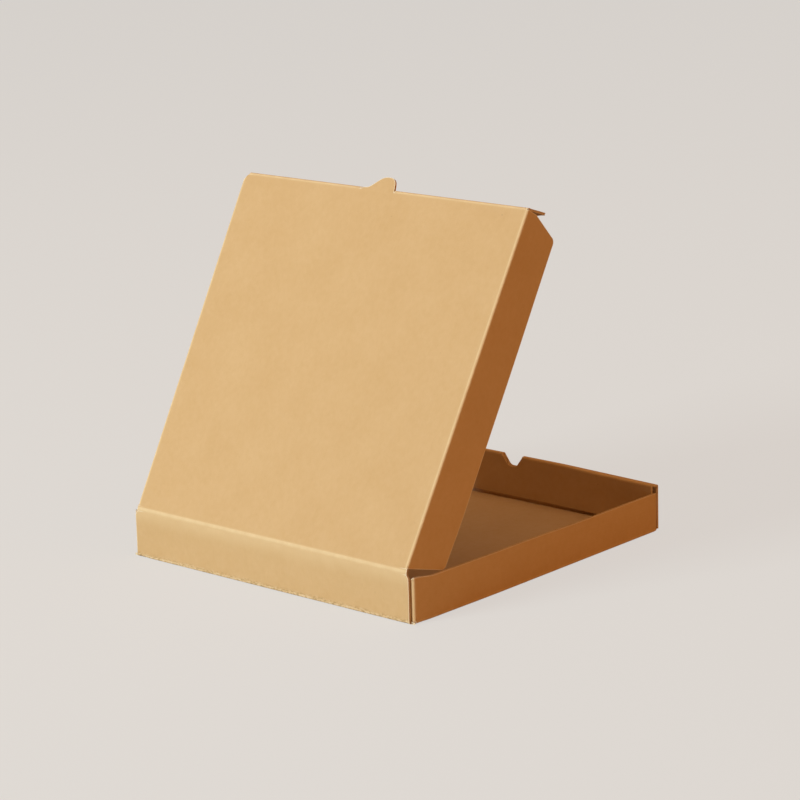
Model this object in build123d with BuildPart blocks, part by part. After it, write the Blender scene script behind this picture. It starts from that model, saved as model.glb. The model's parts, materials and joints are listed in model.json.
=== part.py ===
from build123d import *
from math import cos, radians, sin, tan
import os

# A corrugated pizza box, die-cut and folded from one kraft sheet, in millimetres.
# The origin is the middle of the tray's footprint, on the surface it stands on.
# The front wall with its thumb notch faces -Y, and the lid's crease runs along X at the back.

# Board and folds
board = 2.0
inside_radius = 0.5
tuck_play = 0.4
overlap = 4.0
cut_reach = 1.0

# Tray
tray_width = 330.0
tray_depth = 330.0
side_height = 36.5
front_height = 45.0
front_thickness = 7.0
roll_radius_share = 0.3
foot_gap = 3.0
panel_play = 0.5
corner_flap_length = 58.0
corner_flap_drop = 7.0

# Thumb notch in the front wall
notch_width = 25.4
notch_floor = 10.0
notch_depth = 11.0
notch_radius = 4.5

# Locking tongues under the front wall's inner panel, and their slots in the floor
tongue_width = 24.0
tongue_spacing = 230.0
tongue_lift = 0.4
tongue_taper = 3.0
slot_play = 0.6

# Crease between back wall and lid
crease_height = 44.0
back_inset = 6.5
crease_nick = 2.0
shoulder_drop = 5.5
crease_gap = 0.5
crease_edge = 0.1
opening_angle = 60.0

# Lid
lid_length = 316.5
lid_side_play = 0.8
lid_corner_radius = 9.0
flange_depth = 42.0
flange_front_depth = 45.0
flange_start = 3.0
flange_start_taper = 15.0
flange_square = 11.0
flange_end_taper = 18.0
flange_corner = 5.0
tuck_depth = 25.0
tuck_lean = 8.5
tuck_side_play = 0.5
tuck_taper = 1.0
tuck_corner = 1.5

# Thumb tab on the lid's front edge, slit out of the tuck flap
tab_reach = 11.8
tab_left = 14.8
tab_left_run = 14.2
tab_left_radius = 14.0
tab_right = 16.1
tab_right_run = 2.6
tab_right_radius = 7.0
slit = 0.3

# Places worked out from the sizes above
half_board = board / 2
fold_radius = inside_radius + half_board
fold_reach = inside_radius + board
half_width = tray_width / 2
half_depth = tray_depth / 2
floor_half_width = half_width - fold_reach
floor_half_depth = half_depth - fold_reach
side_mid = half_width - half_board
front_mid = half_depth - half_board
flap_mid = half_depth - board - tuck_play - half_board
flap_end = side_mid - corner_flap_length
inner_mid = half_depth - front_thickness + half_board
foot_height = board + foot_gap
roll_radius = roll_radius_share * (front_thickness - board)
notch_run = (notch_width - notch_floor) / 2 * (notch_depth + cut_reach) / notch_depth
tongue_side = (tongue_spacing + tongue_width) / 2
back_half = half_width - back_inset
crease_half = back_half - crease_nick
crease_bevel = half_board - crease_edge / 2
crease_start = crease_gap / 2
lid_front_half = half_width - board - lid_side_play
channel_end = lid_length - fold_reach
flange_mid = flange_depth - half_board
flange_front_mid = flange_front_depth - half_board
lid_front_mid = lid_front_half - half_board
flange_front = channel_end - (flange_front_mid - flange_square) * tan(radians(flange_end_taper))
tuck_mid = tuck_depth - half_board
tuck_half = lid_front_half - tuck_side_play
tuck_run = tuck_mid * tan(radians(tuck_lean))
tuck_narrowing = (tuck_mid - fold_radius) * tan(radians(tuck_taper))

# Planes of the lid, which stands open about the crease: local x or y runs from the crease to the front
lean = radians(opening_angle)
crease_point = (0, front_mid, crease_height)
along = (0, -cos(lean), sin(lean))
outward = (0, sin(lean), cos(lean))
lid_face = Plane(origin=crease_point, x_dir=(-1, 0, 0), z_dir=outward)
lid_section = Plane(origin=crease_point, x_dir=(-1, 0, 0), z_dir=along)
lid_side = Plane(origin=crease_point, x_dir=along, z_dir=(-1, 0, 0))
lid_tab = Plane(
    origin=lid_face.from_local_coords((0, lid_length - half_board, 0)),
    x_dir=(-1, 0, 0),
    z_dir=outward,
)

# Tray floor with the two side walls
with BuildPart() as side_channel:
    with BuildSketch(Plane.XZ):
        with BuildLine():
            FilletPolyline(
                (-side_mid, side_height),
                (-side_mid, half_board),
                (side_mid, half_board),
                (side_mid, side_height),
                radius=fold_radius,
            )
        trace(line_width=board)
    extrude(amount=flap_mid - fold_radius, both=True)
    with BuildSketch(Plane.XY):
        Rectangle(2 * floor_half_width, 2 * floor_half_depth)
    extrude(amount=board)

# Corner flap, folded off the end of a side wall and tucked behind the wall beside it
with BuildPart() as corner_flap:
    with BuildSketch(Plane.XY.offset(board + tuck_play)):
        with BuildLine():
            FilletPolyline(
                (side_mid, flap_mid - fold_radius - overlap),
                (side_mid, flap_mid),
                (flap_end, flap_mid),
                radius=fold_radius,
            )
        trace(line_width=board)
    extrude(amount=side_height - board - tuck_play)
    with BuildSketch(Plane.XZ.offset(-half_depth)):
        with BuildLine():
            Polyline(
                (half_width - fold_reach, side_height),
                (flap_end - cut_reach, side_height - corner_flap_drop),
                (flap_end - cut_reach, side_height + cut_reach),
                (half_width - fold_reach, side_height + cut_reach),
                close=True,
            )
        make_face()
    extrude(amount=half_depth - flap_mid + board, mode=Mode.SUBTRACT)

# Back wall, with its shoulders cut back to the crushed edge of the crease
with BuildPart() as back_wall:
    with BuildSketch(Plane.YZ):
        with BuildLine():
            FilletPolyline(
                (floor_half_depth - overlap, half_board),
                (front_mid, half_board),
                (front_mid, crease_height - crease_start - crease_bevel),
                radius=fold_radius,
            )
        trace(line_width=board)
        with BuildLine():
            Polyline(
                (front_mid - half_board, crease_height - crease_start - crease_bevel),
                (front_mid + half_board, crease_height - crease_start - crease_bevel),
                (front_mid + crease_edge / 2, crease_height - crease_start),
                (front_mid - crease_edge / 2, crease_height - crease_start),
                close=True,
            )
        make_face()
    extrude(amount=back_half, both=True)
    with BuildSketch(Plane.XZ.offset(-half_depth)):
        with BuildLine():
            Polyline(
                (crease_half, crease_height),
                (back_half, crease_height - shoulder_drop),
                (back_half + cut_reach, crease_height - shoulder_drop),
                (back_half + cut_reach, crease_height),
                close=True,
            )
        make_face()
        mirror(about=Plane.YZ)
    extrude(amount=2 * board, mode=Mode.SUBTRACT)

# Front wall, rolled over so that its inner panel hangs inside the tray on two tongues
with BuildPart() as front_wall:
    with BuildSketch(Plane.YZ):
        with BuildLine():
            FilletPolyline(
                (-floor_half_depth + overlap, half_board),
                (-front_mid, half_board),
                (-front_mid, front_height - half_board),
                (-inner_mid, front_height - half_board),
                (-inner_mid, foot_height),
                radius=[fold_radius, roll_radius, roll_radius],
            )
        trace(line_width=board)
    extrude(amount=half_width, both=True)
    with Locations((half_width, -half_depth), (-half_width, -half_depth)):
        Box(
            2 * fold_reach,
            2 * front_thickness + overlap,
            2 * fold_reach,
            mode=Mode.SUBTRACT,
        )
    with BuildSketch(Plane.XZ.offset(inner_mid + half_board)):
        with Locations((half_width, front_height - fold_reach), (-half_width, front_height - fold_reach)):
            Rectangle(
                2 * (board + panel_play),
                2 * front_height,
                align=(Align.CENTER, Align.MAX),
            )
    extrude(amount=-board - cut_reach, mode=Mode.SUBTRACT)
    with BuildSketch(Plane.XZ.offset(half_depth)):
        with BuildLine():
            notch_edge = FilletPolyline(
                (-notch_floor / 2 - notch_run, front_height + cut_reach),
                (-notch_floor / 2, front_height - notch_depth),
                (notch_floor / 2, front_height - notch_depth),
                (notch_floor / 2 + notch_run, front_height + cut_reach),
                radius=notch_radius,
            )
            Line(notch_edge @ 1, notch_edge @ 0)
        make_face()
    extrude(amount=-front_thickness, mode=Mode.SUBTRACT)

# Locking tongue under the inner panel's foot, reaching down through its slot in the floor
with BuildPart() as tongue:
    with BuildSketch(Plane.XZ.offset(inner_mid - half_board)):
        with BuildLine():
            Polyline(
                (tongue_side, foot_height + overlap),
                (tongue_side, foot_height),
                (tongue_side - tongue_taper, tongue_lift),
                (tongue_side - tongue_width + tongue_taper, tongue_lift),
                (tongue_side - tongue_width, foot_height),
                (tongue_side - tongue_width, foot_height + overlap),
                close=True,
            )
        make_face()
    extrude(amount=board)

# The whole tray
with BuildPart() as tray:
    add(side_channel.part)
    add(corner_flap.part)
    mirror(about=Plane.XZ)
    mirror(about=Plane.YZ)
    add(back_wall.part)
    add(front_wall.part)
    with Locations((0, -inner_mid, -cut_reach)):
        with GridLocations(tongue_spacing, 0, 2, 1):
            Box(
                tongue_width + 2 * slot_play,
                board + 2 * slot_play,
                board + 2 * cut_reach,
                align=(Align.CENTER, Align.CENTER, Align.MIN),
                mode=Mode.SUBTRACT,
            )
    add(tongue.part)
    mirror(tongue.part, about=Plane.YZ)

# Lid panel with its two side flanges, which flare out towards the crease and stand square at the front
with BuildPart() as lid_channel:
    for distance, half in ((0, crease_half), (channel_end, lid_front_half)):
        with BuildSketch(lid_section.offset(distance)):
            with BuildLine():
                FilletPolyline(
                    (-lid_front_mid, flange_front_depth),
                    (-half + half_board, 0),
                    (half - half_board, 0),
                    (lid_front_mid, flange_front_depth),
                    radius=fold_radius,
                )
            trace(line_width=board)
    loft(ruled=True)
    with BuildSketch(lid_side) as flange_outline:
        with BuildLine():
            Polyline(
                (crease_start, -crease_edge / 2),
                (crease_start, crease_edge / 2),
                (crease_start + crease_bevel, half_board),
                (channel_end, half_board),
                (channel_end, -flange_square),
                (flange_front, -flange_front_mid),
                (flange_start + flange_mid * tan(radians(flange_start_taper)), -flange_mid),
                (flange_start, -half_board),
                (crease_start + crease_bevel, -half_board),
                close=True,
            )
        make_face()
        fillet(flange_outline.vertices().sort_by(Axis.Y)[:2], radius=flange_corner)
    extrude(amount=half_width, both=True, mode=Mode.INTERSECT)

# Front tuck flap with the window that the tab leaves
with BuildPart() as tuck_flap:
    with BuildSketch(lid_side):
        with BuildLine():
            FilletPolyline(
                (channel_end - overlap, 0),
                (lid_length - half_board, 0),
                (lid_length - half_board + tuck_run, -tuck_mid),
                radius=fold_radius,
            )
        trace(line_width=board)
    extrude(amount=tuck_half, both=True)
    with BuildSketch(lid_section.offset(channel_end - overlap)) as tuck_outline:
        with BuildLine():
            Polyline(
                (-tuck_half, -half_board),
                (-tuck_half, fold_radius),
                (-tuck_half + tuck_narrowing, tuck_depth),
                (tuck_half - tuck_narrowing, tuck_depth),
                (tuck_half, fold_radius),
                (tuck_half, -half_board),
                close=True,
            )
        make_face()
        fillet(tuck_outline.vertices().group_by(Axis.Y)[-1], radius=tuck_corner)
    extrude(amount=overlap + fold_reach + tuck_run, mode=Mode.INTERSECT)
    with BuildSketch(lid_section.offset(channel_end)):
        with BuildLine():
            tab_edge = FilletPolyline(
                (-tab_left, -half_board - cut_reach),
                (-tab_left, 0),
                (-tab_left + tab_left_run, tab_reach),
                (tab_right - tab_right_run, tab_reach),
                (tab_right, 0),
                (tab_right, -half_board - cut_reach),
                radius=[0, tab_left_radius, tab_right_radius, 0],
            )
            Line(tab_edge @ 1, tab_edge @ 0)
        make_face()
        offset(amount=slit)
    extrude(amount=fold_reach + tuck_run, mode=Mode.SUBTRACT)

# The whole lid
with BuildPart() as lid:
    add(lid_channel.part)
    add(tuck_flap.part)
    with BuildSketch(lid_tab):
        with BuildLine():
            tab_edge = FilletPolyline(
                (-tab_left, half_board - fold_reach - overlap),
                (-tab_left, 0),
                (-tab_left + tab_left_run, tab_reach),
                (tab_right - tab_right_run, tab_reach),
                (tab_right, 0),
                (tab_right, half_board - fold_reach - overlap),
                radius=[0, tab_left_radius, tab_right_radius, 0],
            )
            Line(tab_edge @ 1, tab_edge @ 0)
        make_face()
    extrude(amount=half_board, both=True)
    with BuildSketch(lid_face.offset(half_board)):
        with Locations((-lid_front_half, lid_length)):
            Rectangle(
                2 * lid_corner_radius,
                2 * lid_corner_radius,
            )
        with Locations((-lid_front_half + lid_corner_radius, lid_length - lid_corner_radius)):
            Circle(lid_corner_radius, mode=Mode.SUBTRACT)
    extrude(amount=-half_board - fold_reach, mode=Mode.SUBTRACT)

os.makedirs("parts", exist_ok=True)
tray.part.label = "tray"
lid.part.label = "lid"
export_step(tray.part, "parts/tray.step")
export_step(lid.part, "parts/lid.step")
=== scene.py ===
import json
import math

import bmesh
import bpy
import numpy as np
from mathutils import Matrix, Vector


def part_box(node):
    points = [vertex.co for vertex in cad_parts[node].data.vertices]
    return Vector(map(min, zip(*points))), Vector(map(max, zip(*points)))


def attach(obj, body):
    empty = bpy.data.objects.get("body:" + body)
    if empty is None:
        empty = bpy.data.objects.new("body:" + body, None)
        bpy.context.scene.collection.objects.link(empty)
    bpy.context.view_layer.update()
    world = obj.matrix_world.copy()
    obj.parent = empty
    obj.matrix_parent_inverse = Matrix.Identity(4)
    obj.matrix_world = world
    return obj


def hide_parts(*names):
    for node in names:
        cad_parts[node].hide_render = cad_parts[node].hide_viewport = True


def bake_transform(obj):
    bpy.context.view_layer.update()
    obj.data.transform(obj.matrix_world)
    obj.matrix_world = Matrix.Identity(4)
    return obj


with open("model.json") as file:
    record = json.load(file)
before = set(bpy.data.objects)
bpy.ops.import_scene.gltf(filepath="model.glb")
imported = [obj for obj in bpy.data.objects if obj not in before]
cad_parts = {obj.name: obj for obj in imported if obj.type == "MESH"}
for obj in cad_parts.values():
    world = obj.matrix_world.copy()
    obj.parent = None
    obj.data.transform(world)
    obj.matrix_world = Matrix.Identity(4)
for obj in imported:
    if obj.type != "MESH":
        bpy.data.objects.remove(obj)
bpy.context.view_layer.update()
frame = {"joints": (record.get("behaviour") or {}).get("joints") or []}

# A takeaway pizza box in plain corrugated kraft board, standing open.
# The board is drawn flat, as the die cuts it, in millimetres, and then folded into place.
# Flat places are (x, y, depth): depth runs through the board, and is positive towards the inside.

mm = 0.001
hinge = frame["joints"][0]
traySize = (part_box("tray")[1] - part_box("tray")[0]) / mm
print("packed model loaded")


# The board

board = {
    "thickness": 2.0,  # pressed E flute
    "liner": 0.32,  # each paper face
    "medium": 0.24,  # the waved paper between the faces
    "flutePitch": 3.2,
    "cutDepth": 0.3,  # how far one sees into a cut edge
    "edgeCrush": 0.8,  # width of the strip that the die crushes along a cut
    "rimReach": 2.4,  # how far from a cut the mesh makes room for that strip
    "rimClear": (1.15, 1.6),  # widths of it kept free, beside an edge and at a corner
    "foldRadius": 0.9,  # middle of the board at a 90 degree fold
    "foldSteps": 6,
    "foldRunOut": (1.0, 2.5),  # how far from a fold its crease runs out
    "wearAndHighlightSpan": (0.4, 1.1),  # a fold's wear and painted highlight start to fade this far from it, over this length
    "foldCrush": 0.4,  # share of the half thickness that the crease rule presses in
    "gridStep": 9.0,
    "gridGap": 3.0,  # they stay this far from a fold
    "leastStep": 1.2,  # even cuts closer than this to another are left out
    "arcStep": 0.2,  # radians
    "leastInner": 0.05,  # of the inner liner, where a fold is pressed in
    "mediumBack": 0.06,  # how far the medium lies back from the cut
    "mediumOff": -0.04,  # and from the middle of the board
    "sharpAngle": 32.0,
}
halfBoard = board["thickness"] / 2
foldReach = board["foldRadius"] + halfBoard
foldArc = board["foldRadius"] * math.pi / 2


def smooth(t):
    t = np.clip(t, 0, 1)
    return t * t * (3 - 2 * t)


def ramp(value, span):
    # 0 up to the start of the span, rising to 1 over its length
    start, length = span
    return smooth((value - start) / length)


def curl(along, depth, angle, radius):
    # Rolls what lies past zero round an arc towards the inside, then goes on straight
    turned = np.clip(along / radius, 0, angle)
    past = np.maximum(along - radius * angle, 0)
    rolledAlong = (radius - depth) * np.sin(turned) + past * np.cos(turned)
    rolledDepth = radius - (radius - depth) * np.cos(turned) + past * np.sin(turned)
    return np.where(along > 0, rolledAlong, along), np.where(along > 0, rolledDepth, depth)


def wearAndHighlight(distance):
    # 1 on a fold, falling to 0 beside it: the share of fold wear and painted highlight
    return 1 - ramp(np.abs(distance), board["wearAndHighlightSpan"])


def roundOff(corners):
    # Outline from (x, y, radius) corners, with an arc wherever the radius isn't zero
    outline = []
    for i, (x, y, radius) in enumerate(corners):
        here = Vector((x, y))
        if radius == 0:
            outline.append((x, y))
            continue
        before = (Vector(corners[i - 1][:2]) - here).normalized()
        after = (Vector(corners[(i + 1) % len(corners)][:2]) - here).normalized()
        half = before.angle(after) / 2
        centre = here + (before + after).normalized() * radius / math.sin(half)
        start = here + before * radius / math.tan(half) - centre
        sweep = start.angle_signed(here + after * radius / math.tan(half) - centre)
        steps = max(3, round(abs(sweep) / board["arcStep"]))
        for k in range(steps + 1):
            turn = Matrix.Rotation(-sweep * k / steps, 2)
            outline.append(tuple(centre + turn @ start))
    return outline


def gridLines(low, high, extra=()):
    # Even cuts from low to high, which let a panel bow, and the extra ones at folds and edges
    count = max(1, round((high - low) / board["gridStep"]))
    even = [low + (high - low) * k / count for k in range(count + 1)]
    return sorted([v for v in even if all(abs(v - e) > board["leastStep"] for e in extra)] + list(extra))


def foldLines(start, arc=foldArc):
    # Cuts along a fold: through its arc, and where the pressed crease runs out on each side
    steps = board["foldSteps"]
    near, far = board["foldRunOut"]
    through = [start + arc * k / steps for k in range(steps + 1)]
    return [start - far, start - near] + through + [start + arc + near, start + arc + far]


def clearRim(flat):
    # Moves the points near a cut edge inwards, out of the strip that is crushed along it
    rim = [e for e in flat.edges if len(e.link_faces) == 1]
    start = np.array([e.verts[0].co[:2] for e in rim])
    along = np.array([e.verts[1].co[:2] for e in rim]) - start
    length = np.maximum((along ** 2).sum(axis=1), 1e-12)
    reach = board["rimReach"]
    for v in flat.verts:
        if v.is_boundary:
            continue
        here = np.array(v.co[:2])
        share = np.clip(((here - start) * along).sum(axis=1) / length, 0, 1)
        away = here - start - along * share[:, None]
        gaps = np.hypot(*away.T)
        nearest = gaps.argmin()
        gap = gaps[nearest]
        if 1e-3 < gap < reach:
            square = abs(away[nearest] @ along[nearest]) < 0.05 * gap * math.sqrt(length[nearest])
            clear = board["edgeCrush"] * board["rimClear"][0 if square else 1]
            v.co.xy = Vector(here + away[nearest] / gap * (clear + gap * (1 - clear / reach) - gap))


def cutBlank(panels, cutsX, cutsY):
    # Flat mesh of the panels, cut along straight lines and joined where panels share an edge
    flat = bmesh.new()
    for number, outline in enumerate(panels):
        face = flat.faces.new([flat.verts.new((x, y, 0)) for x, y in outline])
        face.material_index = number
        face.normal_update()
        if face.normal.z < 0:
            face.normal_flip()
    for axis, cuts in ((Vector((1, 0, 0)), cutsX), (Vector((0, 1, 0)), cutsY)):
        for place in sorted(set(round(v, 4) for v in cuts)):
            everything = flat.verts[:] + flat.edges[:] + flat.faces[:]
            bmesh.ops.bisect_plane(flat, geom=everything, dist=1e-3, plane_co=axis * place, plane_no=axis)
    bmesh.ops.remove_doubles(flat, verts=flat.verts, dist=2e-3)
    bmesh.ops.dissolve_degenerate(flat, edges=flat.edges, dist=1e-3)
    clearRim(flat)
    crush = {"thickness": board["edgeCrush"], "use_boundary": True, "use_even_offset": True}
    bmesh.ops.inset_region(flat, faces=flat.faces[:], **crush)
    flat.verts.index_update()
    flat.verts.ensure_lookup_table()
    places = np.array([v.co[:2] for v in flat.verts])
    faces = [[v.index for v in f.verts] for f in flat.faces]
    rims = {}
    panelOf = np.zeros(len(places), int)
    for edge in flat.edges:
        if len(edge.link_faces) == 1:
            loop = edge.link_loops[0]
            rims[loop.vert.index] = rims.get(loop.vert.index, []) + [loop.link_loop_next.vert.index]
    for f in flat.faces:
        for v in f.verts:
            panelOf[v.index] = max(panelOf[v.index], f.material_index)
    flat.free()
    return places, faces, rims, panelOf


def inwardOf(places, rims):
    # Unit vectors in the flat board that point inwards from its cut edge
    inward = np.zeros_like(places)
    for a, ends in rims.items():
        for b in ends:
            step = places[b] - places[a]
            left = np.array((-step[1], step[0])) / max(np.linalg.norm(step), 1e-9)
            inward[a] += left
            inward[b] += left
    length = np.linalg.norm(inward, axis=1)
    return inward / np.maximum(length, 1e-9)[:, None]


def butted(a, b, level):
    # Whether an edge of a blank lies along the level at which it joins the next one
    return abs(a[1] - level) + abs(b[1] - level) < 1e-2


def makeSheet(name, blank, fold, closedAt, foldAndHighlightAt, footAt=None, shadeToneAt=None):
    # Folds a flat blank into a board with two faces, a cut edge and the waved medium in it
    places, faces, rims, panelOf = blank
    count = len(places)
    inner = halfBoard * (1 - board["foldCrush"] * foldAndHighlightAt(places[:, 0], places[:, 1], panelOf))
    flatPoints = [np.column_stack((places, inner)), np.column_stack((places, np.full(count, -halfBoard)))]
    owners = [panelOf, panelOf]
    meshFaces = faces + [[count + i for i in reversed(f)] for f in faces]
    # outside faces picked by the last argument get the inside liner's tone, which there is a painted shade tone
    slots = [1] * len(faces) + [1 if shadeToneAt and shadeToneAt(*places[f].mean(axis=0)) else 0 for f in faces]
    inward = inwardOf(places, rims)
    total = 2 * count

    # cut edge: the two liners stand at the edge, and the core between them lies back a little
    core = halfBoard - board["liner"]
    ringOf = {}
    for a in sorted(rims):
        ringOf[a] = total
        back = places[a] + inward[a] * board["cutDepth"]
        upper = min(core, inner[a] - board["leastInner"])
        ring = [(*places[a], upper), (*back, upper), (*back, -core), (*places[a], -core)]
        flatPoints.append(np.array(ring))
        owners.append(np.full(4, panelOf[a]))
        total += 4
    ribbon = []
    for a in sorted(rims):
        for b in rims[a]:
            if closedAt(places[a], places[b]):
                meshFaces.append([a, count + a, count + b, b])
                slots.append(2)
                continue
            ra, rb = [[v, *range(ringOf[v], ringOf[v] + 4), count + v] for v in (a, b)]
            for k in range(5):
                meshFaces.append([ra[k], ra[k + 1], rb[k + 1], rb[k]])
                slots.append(2 if k != 2 else 3)
            ribbon.append((a, b))

    # the waved medium, standing in the cut edge
    reach = core - board["medium"] / 2
    for a, b in ribbon:
        steps = max(1, math.ceil(abs(places[b][0] - places[a][0]) / (board["flutePitch"] / 8)))
        share = np.linspace(0, 1, steps + 1)[:, None]
        spine = places[a] + (places[b] - places[a]) * share
        inwards = inward[a] + (inward[b] - inward[a]) * share
        middle = reach * np.sin(2 * math.pi * spine[:, 0] / board["flutePitch"]) + board["mediumOff"]
        for side in (1, -1):
            for back in (board["mediumBack"], board["cutDepth"]):
                flatPoints.append(np.column_stack((spine + inwards * back, middle + side * board["medium"] / 2)))
                owners.append(np.full(steps + 1, max(panelOf[a], panelOf[b])))
        row = steps + 1
        for k in range(steps):
            t, u = total + k, total + k + 1
            meshFaces.append([t, t + 2 * row, u + 2 * row, u])
            meshFaces.append([t + row, t, u, u + row])
            meshFaces.append([t + 2 * row, t + 3 * row, u + 3 * row, u + 2 * row])
            slots.extend([2, 3, 3])
        total += 4 * row

    flatPoints = np.vstack(flatPoints)
    owners = np.concatenate(owners)
    shaped = fold(flatPoints, owners) * mm
    mesh = bpy.data.meshes.new(name)
    mesh.from_pydata(shaped.tolist(), [], meshFaces)
    mesh.polygons.foreach_set("material_index", slots)
    place = mesh.attributes.new("blankPlace", "FLOAT_VECTOR", "POINT")
    place.data.foreach_set("vector", (flatPoints * mm).astype(np.float32).ravel())
    atCut = np.ones(len(flatPoints))
    atCut[: 2 * count] = np.tile(np.isin(np.arange(count), np.array(ribbon).ravel()), 2)
    x, y = flatPoints[:, 0], flatPoints[:, 1]
    shares = {"foldWearAndHighlight": foldAndHighlightAt(x, y, owners), "cutPaleAndHighlight": atCut}
    if footAt:
        shares["nearFoot"] = footAt(x, y)
    for use, share in shares.items():
        mesh.attributes.new(use, "FLOAT", "POINT").data.foreach_set("value", share.astype(np.float32))
    mesh.validate()
    mesh.shade_smooth()
    mesh.set_sharp_from_angle(angle=math.radians(board["sharpAngle"]))
    piece = bpy.data.objects.new(name, mesh)
    bpy.context.scene.collection.objects.link(piece)
    print(name, "folded:", len(mesh.polygons), "faces")
    return piece


# The crease that the lid turns on

crease = {
    "half": 156.5,  # half the length of the crease
    "backHalf": 158.5,  # half the length of the back wall under it
    "shoulder": 3.0,  # how far down the back wall's shoulders are cut
    "reach": 2.5,  # how far the creased strip runs on each side of the fold
    "wave": 0.28,  # the crease isn't quite straight
    "waves": ((1.0, 11.3, 0.6), (0.8, 23.7, 2.1), (0.5, 6.1, 0.0)),  # share, length / 2 pi and start
    "waveReach": 9.0,
    "lidFade": (0.9, 1.1),  # its wear and painted highlight start to fade so far from the line, over this length
    "lineFade": (0.4, 1.6),  # the same on the back wall, for one half of it
    "wallFade": (1.5, 15.0), # and for the other half
    "rimRows": 0.9,  # how far the strip's first row is from its edge
    "openAngle": 60.0,  # the lid's angle over level, at rest
}
hingeY = hinge["pos_m"][1] / mm
hingeZ = hinge["pos_m"][2] / mm
lean = math.radians(crease["openAngle"])
lidAlong = np.array((0, -math.cos(lean), math.sin(lean)))
lidInward = np.array((0, -math.sin(lean), -math.cos(lean)))
creaseTurn = math.pi / 2 - lean
creaseRadius = crease["reach"] / math.tan(creaseTurn / 2)
creaseArc = creaseRadius * creaseTurn
highlightShift = 0.4  # a fold's pale band sits this far towards the panel that shows and faces the light, as a painted highlight


def creaseWave(x, away):
    wave = sum(share * np.sin(x / length + start) for share, length, start in crease["waves"])
    most = sum(share for share, length, start in crease["waves"])
    return crease["wave"] * (1 + wave / most) * (1 - smooth(np.abs(away) / crease["waveReach"]))


def creaseFade(away):
    # The crease's wear and painted highlight are crisp towards the lid, and fade out over the back wall as a painted
    # lighter band below the crease
    crisp = 1 - ramp(away, crease["lidFade"])
    below = 1 - (ramp(-away, crease["lineFade"]) + ramp(-away, crease["wallFade"])) / 2
    return np.where(away > 0, crisp, below)


# The tray

tray = {
    "sideHeight": 36.5,
    "frontHeight": 45.0,
    "frontThickness": 7.0,
    "endStep": 0.2,  # the front wall's ends start this far above its fold
    "panelStep": 0.5,  # and its inner panel narrows over this
    "rollRadius": 0.9,
    "rollPinch": 2.2,  # how much closer its two layers stand in the middle
    "pinchSpan": (40, 65),
    "endSag": 2.0,  # how far the front wall has sunk at its -X end
    "endSagSpan": (60, 105),
    "endSagDepth": (8, 36),
    "footHeight": 6.2,
    "panelEnd": 162.5,  # half the length of the inner front panel
    "tuckGap": 0.4,  # between an outer wall and the corner flap behind it
    "flapLength": 58.0,
    "flapFoot": 0.4,  # how far above the fold of the side wall they start
    "flapWearAndHighlight": 0.4,  # share of the fold wear and painted highlight that their folds have
    "flapDrop": 7.0,
    "cornerRise": (4.5, 2.6),  # how far the side walls rise at their rear ends, +X and -X
    "riseSpan": (137, 24),
    "cornerDrop": ((10.0, 6.0), (2.5, 2.4)),  # how far past its fold the rear flap's top drops, and by how much
    "sideSag": 1.1,  # how far the side walls' tops have sunk towards the front
    "sagSpan": (-20, 80),
    "sideSteps": 46,
    "rearSlack": 0.5,  # how much further in the rear corner flaps stand
    "rearTaper": 1.5,  # how far the side walls are drawn in towards the rear
    "taperSpan": (50, 100),
    "cornerPull": 1.3,  # and again at the corners
    "pullSpan": (138, 22),
    "drawnSpan": (110, 45),  # how that runs out across the floor
    "notchWidth": 25.4,
    "notchFloor": 9.0,
    "notchDepth": 11.0,
    "notchRadius": 6.0,
    "notchShift": -2.0,
    "tongueWidth": 24.0,
    "tongueSpacing": 230.0,
    "tongueTaper": 3.0,
    "tongueLift": 0.4,
    "slotPlay": 0.6,
    "bow": 0.45,  # how far a panel bows inwards
    "bowWaves": (47, 39, 120),  # lengths / 2 pi across, along and between
    "bowEdge": {"floor": 45, "side": 30, "sideEnd": 40, "back": 14, "front": 14, "panel": 20},
    "bowShare": {"back": 0.5, "front": 0.6, "panel": 0.7},
    "floorRise": 1.2,  # how far the floor has lifted in front
    "floorRiseSpan": (60, 70),
    "floorRiseEdge": (40, 6),
    "nearFoot": 16.0,  # how far up its walls the darkening towards the foot and the scuffs reach
    "sideFootShare": 0.75,  # share of the darkening towards the foot and of the scuffs that the side walls have
}
halfWidth = traySize.x / 2
halfDepth = traySize.y / 2
floorX = halfWidth - foldReach
floorY = halfDepth - foldReach
flapStart = halfDepth - board["thickness"] - tray["tuckGap"] - halfBoard - board["foldRadius"]
rearStart = flapStart - tray["rearSlack"]
wallTop = foldArc + tray["sideHeight"] - foldReach
flapSpan = foldArc + tray["flapLength"] - board["foldRadius"]
backTop = foldArc + hingeZ - crease["reach"] - foldReach
rollArc = tray["rollRadius"] * math.pi / 2
roll1 = foldArc + tray["frontHeight"] - halfBoard - tray["rollRadius"] - foldReach
rollFlat = tray["frontThickness"] - board["thickness"] - 2 * tray["rollRadius"]
roll2 = roll1 + rollArc + rollFlat
rollMiddle = roll1 + rollArc + rollFlat / 2
panelFoot = roll2 + rollArc + tray["frontHeight"] - halfBoard - tray["rollRadius"] - tray["footHeight"]
sideWalls = (5, 6)  # their numbers among the panels below
tongueTip = panelFoot + tray["footHeight"] - tray["tongueLift"]
slotMiddle = halfDepth - tray["frontThickness"] + halfBoard


def flapFold(y):
    # Where the corner flaps fold off the side walls
    return np.where(y > 0, rearStart, flapStart)


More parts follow.
